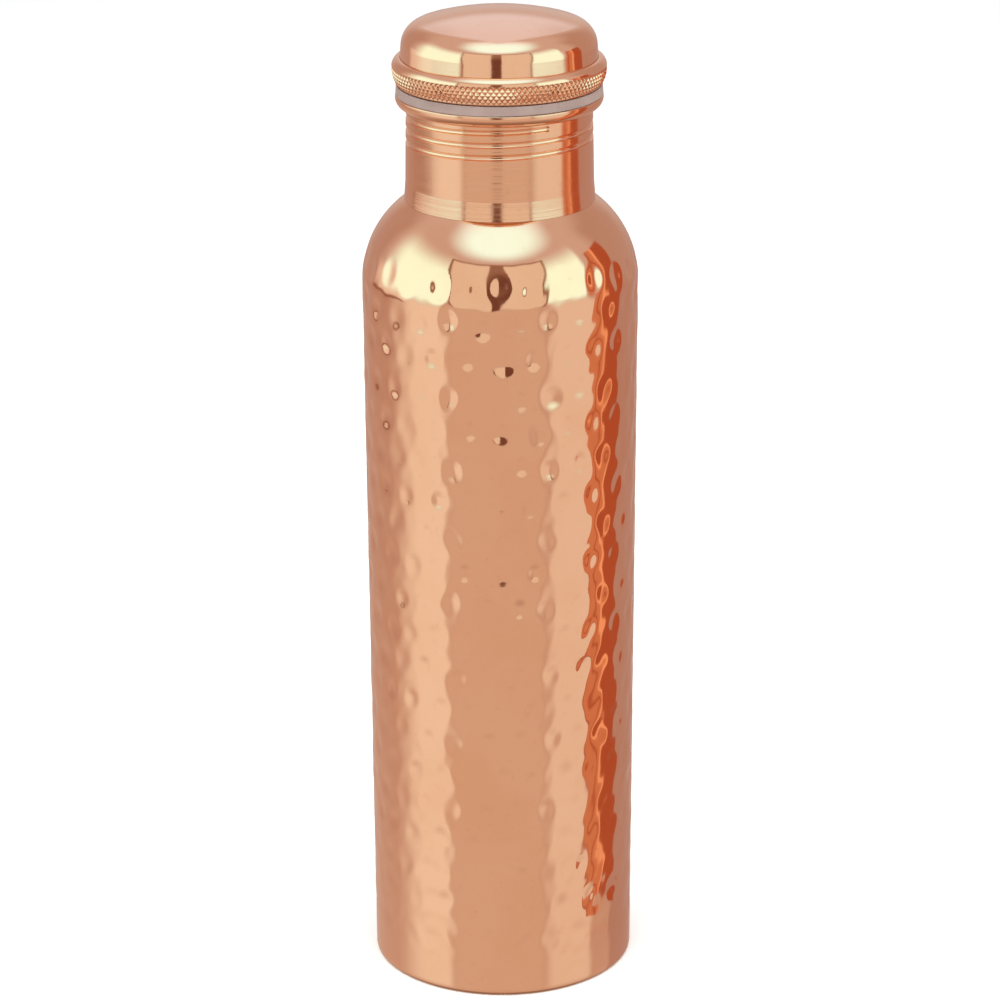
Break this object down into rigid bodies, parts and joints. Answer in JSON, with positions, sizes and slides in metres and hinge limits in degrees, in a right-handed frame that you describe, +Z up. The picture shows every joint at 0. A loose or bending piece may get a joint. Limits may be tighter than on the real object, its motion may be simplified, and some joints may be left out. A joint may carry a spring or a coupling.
{
  "type": "water bottle",
  "caption": "Tall hammered copper water bottle with a rounded shoulder, a rolled-thread neck and a domed screw-in stopper cap with a knurled grip ring and a washer.",
  "frame": {"origin": "centre of the foot ring, on the surface that the bottle stands on", "axes": "+Z up along the bottle's axis, from foot to cap; +X to the right and -Y to the front"},
  "size_m": [0.0734, 0.0734, 0.2675],
  "materials": {
    "hammered_copper": "polished and lacquered copper, hammered below the shoulder",
    "turned_copper": "turned copper with fine marks around it",
    "ring_copper": "polished copper bead with a diamond knurl below it",
    "dome_copper": "polished spun copper",
    "base_copper": "pressed copper, less polished",
    "braze_metal": "copper-phosphorus braze",
    "silicone": "translucent whitish silicone, matte"
  },
  "bodies": {
    "bottle": {"body_shell": "hammered_copper", "base_plate": "base_copper", "base_solder": "braze_metal", "neck": "turned_copper", "neck_braze": "braze_metal"},
    "washer": {"cap_gasket": "silicone"},
    "cap": {"cap_plug": "turned_copper", "plug_floor": "base_copper", "plug_solder": "braze_metal", "cap_grip_ring": "ring_copper", "cap_dome": "dome_copper", "cap_braze": "braze_metal"}
  },
  "joints": [
    {"name": "cap_rise", "type": "slide", "parent": "bottle", "child": "washer", "axis": [0, 0, 1], "range_m": [0, 0.0228]},
    {"name": "cap_turn", "type": "hinge", "parent": "washer", "child": "cap", "pos_m": [0, 0, 0.2479], "axis": [0, 0, 1], "range_deg": [0, 2520]}
  ],
  "couplings": [
    {"joint": "cap_rise", "follows": "cap_turn", "m_per_rad": 0.00051725}
  ]
}
